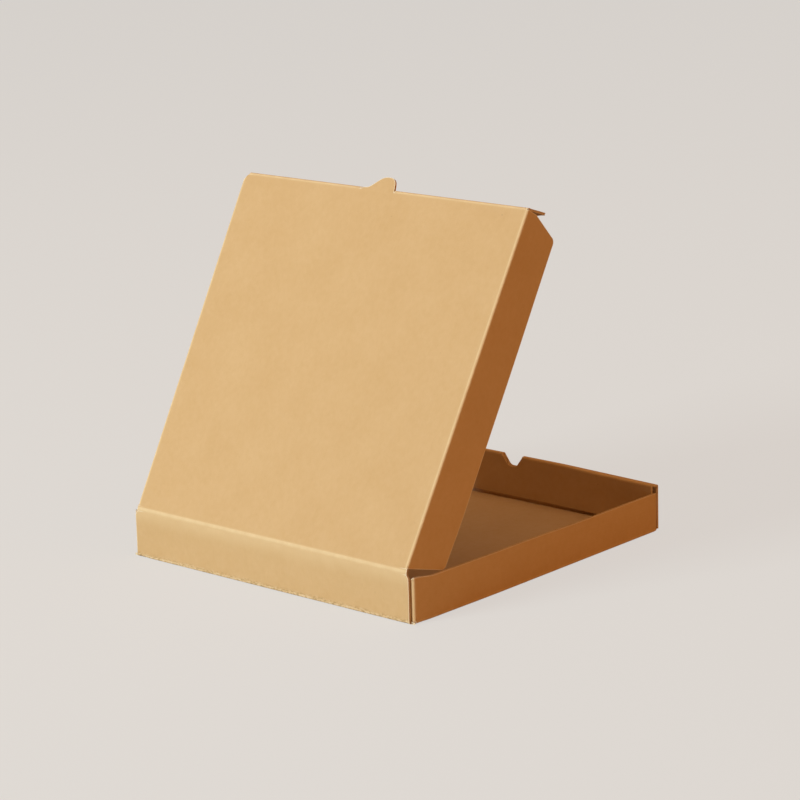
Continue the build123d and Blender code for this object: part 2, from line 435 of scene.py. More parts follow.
def foldTray(points, owners):
    x, y, depth = points.T.copy()
    side, end = np.sign(x), np.sign(y)
    sideWall = (owners == sideWalls[0]) | (owners == sideWalls[1])
    foldAt = flapFold(y)
    onFlap = sideWall & (np.abs(y) > foldAt)
    depth = depth + trayBow(x, y)

    # corner flaps turn in from the ends of the side walls, and then the side walls stand up
    flapAlong, flapDepth = curl(np.abs(y) - foldAt, depth, math.pi / 2, board["foldRadius"])
    y = np.where(onFlap, end * (foldAt + flapAlong), y)
    depth = np.where(onFlap, flapDepth, depth)
    wallAlong, wallDepth = curl(np.abs(x) - floorX, depth, math.pi / 2, board["foldRadius"])
    x = np.where(sideWall, side * (floorX + wallAlong), x)
    depth = np.where(sideWall, wallDepth, depth)

    # the front wall rolls over at its top, and then both end walls stand up
    onFront = (y < -floorY) & ~sideWall
    out = -y - floorY
    pinch = tray["rollPinch"] * (1 - ramp(np.abs(x), tray["pinchSpan"]))
    pinch = pinch * ramp(out, (roll1, roll2 + rollArc - roll1))
    for start, radius in ((roll2, tray["rollRadius"]), (roll1, tray["rollRadius"]), (0, board["foldRadius"])):
        rolledOut, rolledDepth = curl(out - start, depth, math.pi / 2, radius)
        out = np.where(onFront, start + rolledOut, out)
        depth = np.where(onFront, rolledDepth, depth)
    y = np.where(onFront, -floorY - out - pinch, y)
    sagFrom, sagLength = tray["endSagSpan"]
    sag = tray["endSag"] * np.clip((-x - sagFrom) / sagLength, 0, 1) * ramp(depth, tray["endSagDepth"])
    depth = np.where(onFront, depth - sag, depth)
    onBack = (y > floorY) & ~sideWall & ~onFront
    rolledOut, rolledDepth = curl(y - floorY, depth, math.pi / 2, board["foldRadius"])
    y = np.where(onBack, floorY + rolledOut, y)
    depth = np.where(onBack, rolledDepth, depth)

    # the side walls are drawn in a little towards the rear
    drawn = tray["rearTaper"] * ramp(y, tray["taperSpan"]) + tray["cornerPull"] * ramp(y, tray["pullSpan"])
    x = np.where(onBack, x, x - side * drawn * ramp(np.abs(x), tray["drawnSpan"]))
    return np.column_stack((x, y, depth + halfBoard))


def trayBow(x, y):
    # Panels bow a little towards the inside, more the further they are from a fold
    across, along, between = tray["bowWaves"]
    wave = 0.5 + 0.5 * np.sin(x / across + 0.8) * np.sin(y / along + x / between)
    edge, share = tray["bowEdge"], tray["bowShare"]
    fromFloor = np.minimum(floorX - np.abs(x), floorY - np.abs(y))
    floorBow = smooth(fromFloor / edge["floor"])
    up = np.abs(x) - floorX - foldArc
    sideBow = smooth(up / edge["side"]) * smooth((rearStart - np.abs(y)) / edge["sideEnd"])
    back = y - floorY - foldArc
    backBow = share["back"] * smooth(back / edge["back"]) * smooth((backTop - foldArc - back) / edge["back"])
    front = -y - floorY
    frontBow = share["front"] * ramp(front, (foldArc, edge["front"])) * smooth((roll1 - front) / edge["front"])
    panelBow = share["panel"] * ramp(front, (roll2 + rollArc, edge["panel"]))
    inFloor = (np.abs(x) < floorX) & (np.abs(y) < floorY)
    onSide = (up > 0) & (np.abs(y) < rearStart)
    endBow = np.where(y > 0, backBow, np.where(front > roll2, panelBow, frontBow))
    elsewhere = np.where(np.abs(x) < halfWidth, endBow, 0)
    bow = np.where(inFloor, floorBow, np.where(onSide, sideBow, elsewhere))
    onBack = (y > floorY) & (np.abs(x) < halfWidth)
    atCrease = np.where(onBack, creaseWave(x, y - floorY - backTop - creaseArc / 2), 0)
    sideEdge, frontEdge = tray["floorRiseEdge"]
    lifted = tray["floorRise"] * smooth((floorX - np.abs(x)) / sideEdge) * smooth((floorY + y) / frontEdge)
    lifted = np.where(inFloor, lifted * ramp(-y, tray["floorRiseSpan"]), 0)
    return tray["bow"] * wave * bow + atCrease + lifted


# Fold wear and painted highlight on the tray's folds, with the crease's painted highlight down the back wall; this
# also sets how far the folds are pressed in
def trayFoldAndHighlight(x, y, owners):
    sides = wearAndHighlight(np.abs(x) - floorX - foldArc / 2 - highlightShift)
    ends = wearAndHighlight(np.abs(y) - floorY - foldArc / 2 - highlightShift) * (np.abs(x) < halfWidth)
    rolls = np.maximum(wearAndHighlight(-y - floorY - roll1 - rollArc / 2), wearAndHighlight(-y - floorY - roll2 - rollArc / 2 + highlightShift))
    flaps = tray["flapWearAndHighlight"] * wearAndHighlight(np.abs(y) - flapFold(y) - foldArc / 2) * (np.abs(x) > floorX + foldArc)
    hingeFold = creaseFade(y - floorY - backTop - creaseArc / 2)
    onEnds = (np.abs(y) > floorY) & (np.abs(x) < halfWidth)
    onOthers = np.maximum(np.maximum(sides, flaps), ends)
    return np.where(onEnds, np.maximum(np.maximum(ends, rolls), hingeFold), onOthers)


def trayFoot(x, y):
    # 1 at the foot of a wall, falling to 0 some way up it
    sideUp = np.where(np.abs(x) > floorX, np.abs(x) - floorX - foldArc, tray["nearFoot"])
    onEnd = (np.abs(y) > floorY) & (np.abs(x) < halfWidth)
    endUp = np.where(onEnd, np.abs(y) - floorY - foldArc, tray["nearFoot"])
    atSide, atEnd = [np.clip(1 - up / tray["nearFoot"], 0, 1) for up in (sideUp, endUp)]
    return np.maximum(tray["sideFootShare"] * atSide, atEnd)


def trayPanels():
    panels = []

    # floor, in three rows, so that the slots of the two tongues stay open
    slotIn = slotMiddle - halfBoard - tray["slotPlay"]
    slotOut = slotMiddle + halfBoard + tray["slotPlay"]
    slotLeft = tray["tongueSpacing"] / 2 - tray["tongueWidth"] / 2 - tray["slotPlay"]
    slotRight = tray["tongueSpacing"] / 2 + tray["tongueWidth"] / 2 + tray["slotPlay"]
    blocks = [(-floorX, -slotIn, floorX, floorY), (-floorX, -floorY, floorX, -slotOut)]
    between = ((-floorX, -slotRight), (-slotLeft, slotLeft), (slotRight, floorX))
    blocks += [(left, -slotOut, right, -slotIn) for left, right in between]
    for left, low, right, high in blocks:
        panels.append([(left, low), (right, low), (right, high), (left, high)])

    # side walls with their corner flaps
    low = floorX + foldArc + tray["flapFoot"]
    top = floorX + wallTop
    flapTip = top - tray["flapDrop"]
    for side, rise in zip((1, -1), tray["cornerRise"]):
        wall = [(floorX, -flapStart), (floorX, rearStart), (low, rearStart), (low, rearStart + flapSpan)]
        wall.append((flapTip, rearStart + flapSpan))
        for past, drop in tray["cornerDrop"]:
            wall.append((top + rise - drop, rearStart + foldArc + past))
        for y in np.linspace(rearStart + foldArc, -flapStart - foldArc, tray["sideSteps"]).tolist():
            raised = rise * ramp(y, tray["riseSpan"]) - tray["sideSag"] * ramp(-y, tray["sagSpan"])
            wall.append((top + float(raised), y))
        wall += [(flapTip, -flapStart - flapSpan), (low, -flapStart - flapSpan), (low, -flapStart)]
        panels.append([(side * x, y) for x, y in wall])

    # back wall, up to the creased strip
    shoulder = floorY + backTop - crease["shoulder"]
    wall = [(crease["backHalf"], floorY), (crease["backHalf"], shoulder), (crease["half"], floorY + backTop)]
    panels.append(wall + [(-x, y) for x, y in reversed(wall)])

    # front wall in two halves, each with half of the thumb notch, its panel and a tongue
    def upTheWall(z):
        over = z - (tray["frontHeight"] - halfBoard - tray["rollRadius"])
        if over <= 0:
            return roll1 + over
        return roll1 + tray["rollRadius"] * math.asin(min(1, over / tray["rollRadius"]))

    notchTop = tray["frontHeight"]
    notchBottom = notchTop - tray["notchDepth"]
    foot, mouth = tray["notchFloor"] / 2, tray["notchWidth"] / 2
    profile = roundOff([(0, notchBottom, 0), (foot, notchBottom, tray["notchRadius"]), (mouth, notchTop, 0)])[:-1]
    slope = (mouth - foot) / tray["notchDepth"]
    for z in np.linspace(notchTop - halfBoard - tray["rollRadius"], notchTop - halfBoard, 5):
        profile.append((mouth - (notchTop - z) * slope, z))
    rising = [(x, upTheWall(z)) for x, z in profile]
    falling = [(x, 2 * rollMiddle - q) for x, q in reversed(rising)]
    tongueOut = (tray["tongueSpacing"] + tray["tongueWidth"]) / 2
    tongueIn = tongueOut - tray["tongueWidth"]
    taper = tray["tongueTaper"]
    shift = tray["notchShift"]
    narrowing = roll2 + 0.4 * rollArc
    endStart = foldArc + tray["endStep"]
    for side in (1, -1):
        half = [(side * shift, 0), (floorX, 0), (floorX, endStart), (halfWidth, endStart)]
        half += [(halfWidth, narrowing), (tray["panelEnd"], narrowing + tray["panelStep"])]
        half += [(tray["panelEnd"], panelFoot)]
        half += [(tongueOut, panelFoot), (tongueOut - taper, tongueTip)]
        half += [(tongueIn + taper, tongueTip), (tongueIn, panelFoot)]
        half += [(side * shift, panelFoot)] + [(x + side * shift, q) for x, q in falling[::-1] + rising[::-1]]
        panels.append([(side * x, -floorY - q) for x, q in half])

    gap = board["gridGap"]
    cutsX = gridLines(-floorX, floorX, [-slotRight, -slotLeft, shift, slotLeft, slotRight])
    for side in (1, -1):
        cutsX += [side * v for v in foldLines(floorX)[1:] + gridLines(floorX + foldArc + gap, top - 1)]
    cutsY = gridLines(-flapStart, floorY - gap, [-slotOut, -slotIn]) + foldLines(floorY)
    cutsY += gridLines(floorY + foldArc + gap, floorY + backTop)
    cutsY += foldLines(rearStart) + gridLines(rearStart + foldArc + gap, rearStart + flapSpan)
    cutsY += [-v for v in foldLines(flapStart) + gridLines(flapStart + foldArc + gap, flapStart + flapSpan)]
    cutsY += [-v for v in foldLines(floorY)]
    front = gridLines(foldArc + gap, roll1 - gap) + foldLines(roll1, rollArc) + foldLines(roll2, rollArc)
    cutsY += [-floorY - v for v in front + gridLines(roll2 + rollArc + gap, panelFoot)]
    return panels, cutsX, cutsY


def trayClosed(a, b):
    # Edges without an open cut: the butt joint at the crease, and the feet of the corner flaps
    low, high = floorX - 0.01, floorX + foldArc + tray["flapFoot"] + 0.01
    atFoot = all(low < abs(p[0]) < high and abs(p[1]) > rearStart - 0.01 for p in (a, b))
    return butted(a, b, floorY + backTop) or atFoot


def shadeTonedPanel(x, y):
    # The panel behind the front wall gets the paler inside liner's tone as a painted shade tone, for the shade it
    # lies in inside the box
    return y < -floorY - roll2 - rollArc / 2


# The lid

lid = {
    "length": 316.5,  # crease to the outside of the front fold
    "frontHalf": 162.2,  # half the width at the front
    "flangeDepth": 42.0,
    "flangeFrontDepth": 45.0,
    "flangeDraw": 1.5,  # how much less they flare at the crease, to clear the side walls
    "drawSpan": (10, 55),
    "turnLength": 2.0,  # they turn up within this of the crease's reach
    "flangeStart": 3.0,
    "flangeStartTaper": 15.0,
    "flangeSquare": 11.0,
    "flangeTip": 1.5,
    "flangeEndTaper": 18.0,
    "flangeCorner": 5.0,
    "tuckDepth": 25.0,
    "tuckLean": 2.5,
    "tuckCurl": 3.2,  # how far its corner at the -X end has curled out
    "curlSpan": (138, 24),
    "tuckHalf": 161.7,
    "tuckTaper": 1.0,
    "tuckShoulder": 0.3,
    "tuckCorner": 1.5,
    "cornerRadius": 12.0,  # the front corner on the +X side is rounded off
    "cornerSlit": 3.5,  # the flange's end stands off it
    "cornerCut": 6.5,  # and the tuck flap is cut back from it
    "tabReach": 11.8,
    "tabSlope": (14.8, 14.2, 14.0),  # foot, run and tip radius of the sloping side
    "tabSquare": (14.9, 2.6, 7.0),  # the same for the square side
    "tabBlend": 5.0,  # the slope runs out into the lid's edge
    "tabBlendRadius": 10.0,
    "tabSink": 0.2,  # its foot lies this far inside the lid's front edge
    "slit": 0.3,
    "bow": 0.7,
    "bowWaves": (61, 47, 53),  # lengths / 2 pi across, between and along
    "ripple": 0.35,
    "rippleWaves": (23, 31),
    "bowEdge": {"panel": 55, "flange": 30},
    "flangeBow": 0.35,
    "rearCuts": (0.5, 1.2, 2.2, 4.0),  # the flanges turn up between these
}
tuckAngle = math.pi / 2 - math.radians(lid["tuckLean"])
channelEnd = lid["length"] - foldReach
tuckSetBack = board["foldRadius"] * math.tan(tuckAngle / 2)
tuckStart = lid["length"] - halfBoard - tuckSetBack
tuckArc = board["foldRadius"] * tuckAngle
tuckEnd = tuckStart + tuckArc + (lid["tuckDepth"] - halfBoard) / math.sin(tuckAngle) - tuckSetBack
lidFold = lid["frontHalf"] - foldReach  # the flange folds stand here in the flat lid
tabPanel = 2  # its place among the lid's panels


def lidHalfAt(s):
    return crease["half"] + (lid["frontHalf"] - crease["half"]) * s / channelEnd


def foldLid(points, owners):
    x, s, depth = points.T.copy()
    depth = depth + lidBow(x, s)

    # flanges: they flare out towards the crease and stand square at the front
    start = lidHalfAt(s) - foldReach
    drawn = lid["flangeDraw"] * (1 - ramp(s, lid["drawSpan"]))
    flare = np.arctan((lid["frontHalf"] - drawn - lidHalfAt(s)) / lid["flangeFrontDepth"])
    angle = (math.pi / 2 - flare) * ramp(s, (crease["reach"], lid["turnLength"]))
    past = np.abs(x) - lidFold
    rolled, rolledDepth = curl(past, depth, np.maximum(angle, 1e-4), board["foldRadius"])
    across = np.where(past > 0, start + rolled, np.abs(x) * start / lidFold)
    onLid = s < tuckStart
    depth = np.where(onLid & (past > 0), rolledDepth, depth)
    x = np.where(onLid, np.sign(x) * across, x)

    # tuck flap, apart from the tab that stays level with the lid
    rolled, rolledDepth = curl(s - tuckStart, depth, tuckAngle, board["foldRadius"])
    onTuck = (s > tuckStart) & (owners != tabPanel)
    curled = lid["tuckCurl"] * ramp(-x, lid["curlSpan"]) * smooth(rolledDepth / lid["tuckDepth"])
    s = np.where(onTuck, tuckStart + rolled + curled, s)
    depth = np.where(onTuck, rolledDepth, depth)
    shaped = np.outer(s, lidAlong) + np.outer(depth, lidInward)
    return shaped + np.column_stack((x, np.full(len(x), hingeY), np.full(len(x), hingeZ)))


def lidBow(x, s):
    fromFold = np.minimum(lidFold - np.abs(x), np.minimum(s - crease["reach"], tuckStart - s))
    panel = smooth(fromFold / lid["bowEdge"]["panel"])
    flange = lid["flangeBow"] * ramp(np.abs(x), (lidFold + foldArc, lid["bowEdge"]["flange"]))
    across, between, along = lid["bowWaves"]
    rippleX, rippleS = lid["rippleWaves"]
    wave = np.sin(x / across + s / between) * np.sin(s / along + 1.1)
    wave = (wave + lid["ripple"] * np.sin(x / rippleX - s / rippleS)) / (1 + lid["ripple"])
    share = np.where(np.abs(x) > lidFold, flange, np.where(s > tuckStart, 0, panel))
    return lid["bow"] * wave * share + creaseWave(x, s - crease["reach"] + creaseArc / 2)


# Fold wear and painted highlight on the lid's folds and at the crease; this also sets how far they are pressed in
def lidFoldAndHighlight(x, s, owners):
    sides = wearAndHighlight(np.abs(x) - lidFold - foldArc / 2 + highlightShift) * (s < tuckStart)
    front = wearAndHighlight(s - tuckStart - tuckArc / 2 + highlightShift) * (owners != tabPanel)
    hingeFold = creaseFade(s - crease["reach"] + creaseArc / 2)
    return np.maximum(np.maximum(sides, front), hingeFold)


def lidPanels():
    crushed = lid["cornerRadius"]
    middleX, middleS = lidFold + foldArc - crushed, lid["length"] - crushed
    rear = crease["reach"]
    flangeEdge = foldArc + lid["flangeDepth"] - halfBoard - board["foldRadius"]
    flangeFrontEdge = foldArc + lid["flangeFrontDepth"] - halfBoard - board["foldRadius"]
    rearSlant = math.tan(math.radians(lid["flangeStartTaper"]))
    frontSlant = math.tan(math.radians(lid["flangeEndTaper"]))
    rearEnd = lid["flangeStart"] + (lid["flangeDepth"] - halfBoard) * rearSlant
    frontEnd = channelEnd - (lid["flangeFrontDepth"] - halfBoard - lid["flangeSquare"]) * frontSlant
    square = foldArc + lid["flangeSquare"] - board["foldRadius"]

    def flange(rounded):
        edge = [(lidFold + foldReach, rear, 0), (lidFold + foldReach, lid["flangeStart"], 0)]
        edge += [(lidFold + flangeEdge, rearEnd, lid["flangeCorner"])]
        edge += [(lidFold + flangeFrontEdge, frontEnd, lid["flangeCorner"])]
        edge += [(lidFold + square, channelEnd, lid["flangeTip"])]
        if not rounded:
            edge += [(lidFold, channelEnd, 0), (lidFold, tuckStart, 0)]
            return roundOff([(0, rear, 0)] + edge + [(0, tuckStart, 0)])
        turns = np.linspace(0, math.asin((tuckStart - middleS) / crushed), 6)
        arc = [(middleX + crushed * math.cos(t), middleS + crushed * math.sin(t), 0) for t in turns]
        edge += [(lidFold + foldArc + lid["cornerSlit"], channelEnd, 0)] + arc
        return roundOff([(0, rear, 0)] + edge + [(0, tuckStart, 0)])

    right = flange(True)
    left = [(-x, s) for x, s in flange(False)]

    # tab, and the tuck flap that it is slit out of
    def tabEdge(grow):
        slopeFoot, slopeRun, slopeTip = lid["tabSlope"]
        squareFoot, squareRun, squareTip = lid["tabSquare"]
        foot = lid["length"] - lid["tabSink"]
        tip = lid["length"] - halfBoard + lid["tabReach"] + grow
        rootAt = slopeFoot + lid["tabBlend"] + grow
        slope = [(rootAt + 3, tuckStart, 0), (rootAt, foot, 0), (slopeFoot + grow, foot, lid["tabBlendRadius"])]
        tips = [(slopeFoot - slopeRun + grow, tip, slopeTip), (squareRun - squareFoot - grow, tip, squareTip)]
        return slope + tips + [(-squareFoot - grow, foot, 0), (-squareFoot - grow, tuckStart, 0)]

    narrowing = (tuckEnd - tuckStart) * math.tan(math.radians(lid["tuckTaper"]))
    half, endHalf = lid["tuckHalf"], lid["tuckHalf"] - narrowing
    cornerX = middleX + math.sqrt(crushed ** 2 - (tuckStart - middleS) ** 2)
    tuck = [(-lidFold, tuckStart, 0), (-half, tuckStart + lid["tuckShoulder"], 0)]
    tuck += [(-endHalf, tuckEnd, lid["tuckCorner"]), (endHalf, tuckEnd, lid["tuckCorner"])]
    tuck += [(half, tuckStart + tuckArc + lid["cornerCut"], 0)]
    tuck += [(cornerX, tuckStart + tuckArc, 0), (cornerX, tuckStart, 0)] + tabEdge(lid["slit"])
    panels = [right, left, roundOff(tabEdge(0)), roundOff(tuck)]
    roots = [v for grow in (0, lid["slit"]) for v in (tabEdge(grow)[0][0], tabEdge(grow)[-1][0])]
    gap = board["gridGap"]
    cutsX = gridLines(-lidFold + gap, lidFold - gap, [0] + roots)
    for side in (1, -1):
        cutsX += [side * v for v in foldLines(lidFold) + gridLines(lidFold + foldArc + gap, lidFold + flangeEdge)]
    cutsY = [rear + v for v in lid["rearCuts"]] + gridLines(rear + board["gridStep"], tuckStart - gap)
    cutsY += foldLines(tuckStart, tuckArc) + gridLines(tuckStart + tuckArc + gap, tuckEnd)
    return panels, cutsX, cutsY


def lidClosed(a, b):
    # Edges without an open cut: the butt joint at the crease, and the rounded front corner
    low, high = tuckStart - 3, tuckStart + tuckArc + 0.01
    atCorner = all(p[0] > lidFold - lid["cornerRadius"] and low < p[1] < high for p in (a, b))
    return butted(a, b, crease["reach"]) or atCorner


# The creased strip between back wall and lid

stripEdge = creaseArc / 2


def foldCrease(points, owners):
    x, t, depth = points.T.copy()
    depth = depth + creaseWave(x, t)
    rolled, rolledDepth = curl(t + stripEdge, depth, creaseTurn, creaseRadius)
    return np.column_stack((x, hingeY - rolledDepth, hingeZ - crease["reach"] + rolled))


# Wear and painted highlight along the creased strip, which also sets how far it is pressed in
def creaseFoldAndHighlight(x, t, owners):
    return creaseFade(t)


def stripPanels():
    half, first = crease["half"], crease["rimRows"] - stripEdge
    panel = [(-half, -stripEdge), (half, -stripEdge), (half, stripEdge), (-half, stripEdge)]
    return [panel], gridLines(-half, half, [0]), np.linspace(first, -first, 9)


def stripClosed(a, b):
    return butted(a, b, stripEdge) or butted(a, b, -stripEdge)


print("folding the board")
trayBoard = makeSheet("tray_board", cutBlank(*trayPanels()), foldTray, trayClosed, trayFoldAndHighlight, trayFoot, shadeTonedPanel)
lidBoard = makeSheet("lid_board", cutBlank(*lidPanels()), foldLid, lidClosed, lidFoldAndHighlight)
creaseStrip = makeSheet("crease_strip", cutBlank(*stripPanels()), foldCrease, stripClosed, creaseFoldAndHighlight)

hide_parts("tray")
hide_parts("lid")
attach(trayBoard, "tray")
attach(lidBoard, "lid")
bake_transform(creaseStrip)


# Materials

def linear(code):
    # sRGB hex to linear colour
    parts = [int(code[i : i + 2], 16) / 255 for i in (1, 3, 5)]
    return (*[c / 12.92 if c <= 0.04045 else ((c + 0.055) / 1.055) ** 2.4 for c in parts], 1)


def addNode(tree, kind, inputs, output=0, **settings):
    # Adds a node with its settings, sets or links its inputs, and gives back one of its outputs
    node = tree.nodes.new("ShaderNode" + kind)
    for key, value in settings.items():
        setattr(node, key, value)
    for key, value in inputs.items():
        if isinstance(value, bpy.types.NodeSocket):
            tree.links.new(value, node.inputs[key])
        else:
            node.inputs[key].default_value = value
    return node.outputs[output] if node.outputs else None


def newMaterial(name):
    material = bpy.data.materials.new(name)
    material.use_nodes = True
    material.node_tree.nodes.clear()
    return material, material.node_tree


liner = {
    "outside": "#dcae70",  # brown kraft, as it looks in plain light
    "outsideDeep": "#d09f5e",
    # inside liner: paler and greyer than the outside, a tone that also stands in for the colour of the shade inside
    # the box
    "inside": "#d9bd92",
    "insideDeep": "#ccab7a",
    "wearAndHighlight": "#f3cd8f",  # stretched fibres at a fold, and a painted highlight along it
    "speck": "#8a5f33",
    # cut: pale fibres of a cut edge, made paler still as a painted highlight along the edges
    "cut": "#f8ddae",
    "cutDeep": "#e6c48c",
    "scuffDark": "#a37a42",
    "scuffPale": "#f4dcae",
    "medium": "#deb884",
    "mediumDeep": "#c4975c",
    "roughness": 0.82,
    "roughnessRange": (-0.05, 0.06),
    "ior": 1.5,  # cellulose
    "cutFluff": 1.4,  # mm, size of the tufts along a cut
    "cutRoughness": 0.92,
}

# what the paper shows: size along x, y and z in mm, detail and roughness of its noise
paperNoise = {
    "cloud": ((42.0, 42.0, 42.0), 3.0, 0.5),  # slow changes of tone across the sheet
    "formation": ((5.5, 5.5, 5.5), 4.0, 0.6),  # the cloudiness of the pulp
    "fibres": ((0.7, 5.0, 5.0), 2.0, 0.6),  # real ones are 0.03 mm wide, drawn this coarse to show
    "grain": ((0.9, 0.9, 0.9), 2.0, 0.5),
    "breakUp": ((11.0, 11.0, 11.0), 4.0, 0.65),  # a fold's wear and painted highlight are stronger on some stretches than on others
}
footNoise = {
    "footPatches": ((9.0, 9.0, 9.0), 3.0, 0.6),
    "marks": ((2.8, 2.8 / 2.2, 2.8), 2.0, 0.55),  # short marks along the foot of a wall
}
paperTone = {"cloud": (0.3, 0.7, 0.30), "formation": (0.3, 0.7, 0.22), "fibres": (0.35, 0.65, 0.16)}
paperRelief = {"fibres": 0.030, "formation": 0.10, "grain": 0.02}  # mm
barkSpeck = {
    "spacing": 17.0,  # mm
    "size": 0.55,  # mm
    "edge": (1.3, 0.5),  # it fades in between these shares of its size
    "shown": 0.55,  # share of them that is too faint to see
    "most": 0.75,
}
washboard = 0.02  # mm, how far the liner sinks between flutes
scuffRelief = -0.25  # mm


def kraftLiner(name, base, deep, footMarked):
    # Machine-glazed kraft liner, glued over the flutes: dull, slightly cloudy, with fibres and bark specks
    material, tree = newMaterial(name)
    place = addNode(tree, "Attribute", {}, "Vector", attribute_name="blankPlace")
    fold = addNode(tree, "Attribute", {}, "Fac", attribute_name="foldWearAndHighlight")
    cut = addNode(tree, "Attribute", {}, "Fac", attribute_name="cutPaleAndHighlight")
    noises = {}
    for use, (size, detail, roughness) in {**paperNoise, **(footNoise if footMarked else {})}.items():
        placed = addNode(tree, "Mapping", {"Vector": place, "Scale": [1 / (v * mm) for v in size]})
        settings = {"Vector": placed, "Scale": 1.0, "Detail": detail, "Roughness": roughness}
        noises[use] = addNode(tree, "TexNoise", settings, "Fac")

    tone = 0.0
    for use, (low, high, most) in paperTone.items():
        share = addNode(tree, "MapRange", {"Value": noises[use], "From Min": low, "From Max": high, "To Max": most})
        tone = addNode(tree, "Math", {0: share, 1: tone}, operation="ADD")
    colour = addNode(tree, "Mix", {0: tone, 6: linear(base), 7: linear(deep)}, 2, data_type="RGBA")

    # bark specks: one in each cell
    cells = addNode(tree, "Mapping", {"Vector": place, "Scale": [1 / (barkSpeck["spacing"] * mm)] * 3})
    cell = addNode(tree, "TexVoronoi", {"Vector": cells, "Scale": 1.0, "Randomness": 1.0}, "Color", feature="F1")
    chance = addNode(tree, "SeparateColor", {"Color": cell})
    shown = addNode(tree, "MapRange", {"Value": chance, "From Min": barkSpeck["shown"], "To Max": barkSpeck["most"]})
    fadeIn, full = [share * barkSpeck["size"] / barkSpeck["spacing"] for share in barkSpeck["edge"]]

    # layers of colour: each one's hue and mask, its pattern, where that starts and is full, least and most share
    layers = [
        (liner["speck"], shown, cell.node.outputs["Distance"], fadeIn, full, 0.0, 1.0),
        # pale fold band: stretched fibres, and a painted highlight along the folds
        (liner["wearAndHighlight"], fold, noises["breakUp"], 0.3, 0.65, 0.4125, 0.75),
        # pale strip along open cut edges: pale fibres, made paler as a painted highlight
        (liner["cut"], cut, 1.0, 0.0, 1.0, 0.0, 0.9),
    ]
    if footMarked:
        # foot of the walls: darker towards the bottom, in patches, and marked where the fold has been dragged about
        foot = addNode(tree, "Attribute", {}, "Fac", attribute_name="nearFoot")
        nearFold = addNode(tree, "MapRange", {"Value": foot, "From Min": 0.78, "From Max": 0.97})
        layers += [
            # darker towards the foot of the walls, in patches
            (deep, foot, noises["footPatches"], 0.42, 0.68, 0.0, 0.5),
            (liner["scuffDark"], nearFold, noises["marks"], 0.52, 0.61, 0.0, 0.55),
            (liner["scuffPale"], nearFold, noises["marks"], 0.45, 0.36, 0.0, 0.3),
        ]
    for hue, mask, pattern, start, end, least, most in layers:
        limits = {"From Min": start, "From Max": end, "To Min": least, "To Max": most}
        share = addNode(tree, "MapRange", {"Value": pattern, **limits})
        share = addNode(tree, "Math", {0: share, 1: mask}, operation="MULTIPLY")
        colour = addNode(tree, "Mix", {0: share, 6: colour, 7: linear(hue)}, 2, data_type="RGBA")

    # relief: the faint washboard over the flutes, fibres and pulp
    across = addNode(tree, "SeparateXYZ", {"Vector": place})
    turn = addNode(tree, "Math", {0: across, 1: 2 * math.pi / (board["flutePitch"] * mm)}, operation="MULTIPLY")
    ridges = addNode(tree, "Math", {0: turn}, operation="SINE")
    relief = addNode(tree, "Math", {0: ridges, 1: washboard / 2}, operation="MULTIPLY")
    for use, depth in paperRelief.items():
        relief = addNode(tree, "Math", {0: noises[use], 1: depth, 2: relief}, operation="MULTIPLY_ADD")
    if footMarked:
        dents = addNode(tree, "Math", {0: nearFold, 1: noises["marks"]}, operation="MULTIPLY")
        relief = addNode(tree, "Math", {0: dents, 1: scuffRelief, 2: relief}, operation="MULTIPLY_ADD")
    bump = addNode(tree, "Bump", {"Strength": 1.0, "Distance": mm, "Height": relief})

    smoothest, roughest = [liner["roughness"] + change for change in liner["roughnessRange"]]
    limits = {"From Min": 0.3, "From Max": 0.7, "To Min": smoothest, "To Max": roughest}
    rough = addNode(tree, "MapRange", {"Value": noises["formation"], **limits})
    surface = {"Base Color": colour, "Roughness": rough, "IOR": liner["ior"], "Normal": bump}
    surface["Specular IOR Level"] = 0.35
    addNode(tree, "OutputMaterial", {"Surface": addNode(tree, "BsdfPrincipled", surface)})
    return material


def cutPaper(name, base, deep):
    # Paper cut by the die: rough, fibrous and matte
    material, tree = newMaterial(name)
    place = addNode(tree, "Attribute", {}, "Vector", attribute_name="blankPlace")
    placed = addNode(tree, "Mapping", {"Vector": place, "Scale": [1 / (liner["cutFluff"] * mm)] * 3})
    fluff = addNode(tree, "TexNoise", {"Vector": placed, "Scale": 1.0, "Detail": 3.0}, "Fac")
    share = addNode(tree, "MapRange", {"Value": fluff, "From Min": 0.3, "From Max": 0.7})
    colour = addNode(tree, "Mix", {0: share, 6: linear(base), 7: linear(deep)}, 2, data_type="RGBA")
    bump = addNode(tree, "Bump", {"Strength": 0.6, "Distance": 0.1 * mm, "Height": fluff})
    surface = {"Base Color": colour, "Roughness": liner["cutRoughness"], "IOR": liner["ior"]}
    surface.update({"Specular IOR Level": 0.2, "Normal": bump})
    addNode(tree, "OutputMaterial", {"Surface": addNode(tree, "BsdfPrincipled", surface)})
    return material


finishes = [
    kraftLiner("kraft_liner_outside", liner["outside"], liner["outsideDeep"], True),
    kraftLiner("kraft_liner_inside_and_shade_tone", liner["inside"], liner["insideDeep"], False),
    # its pale cut colour is partly a painted highlight along the edges
    cutPaper("kraft_liner_cut_edge", liner["cut"], liner["cutDeep"]),
    cutPaper("fluting_medium_cut", liner["medium"], liner["mediumDeep"]),
]
for piece in (trayBoard, lidBoard, creaseStrip):
    for finish in finishes:
        piece.data.materials.append(finish)
print("materials made")


# Studio

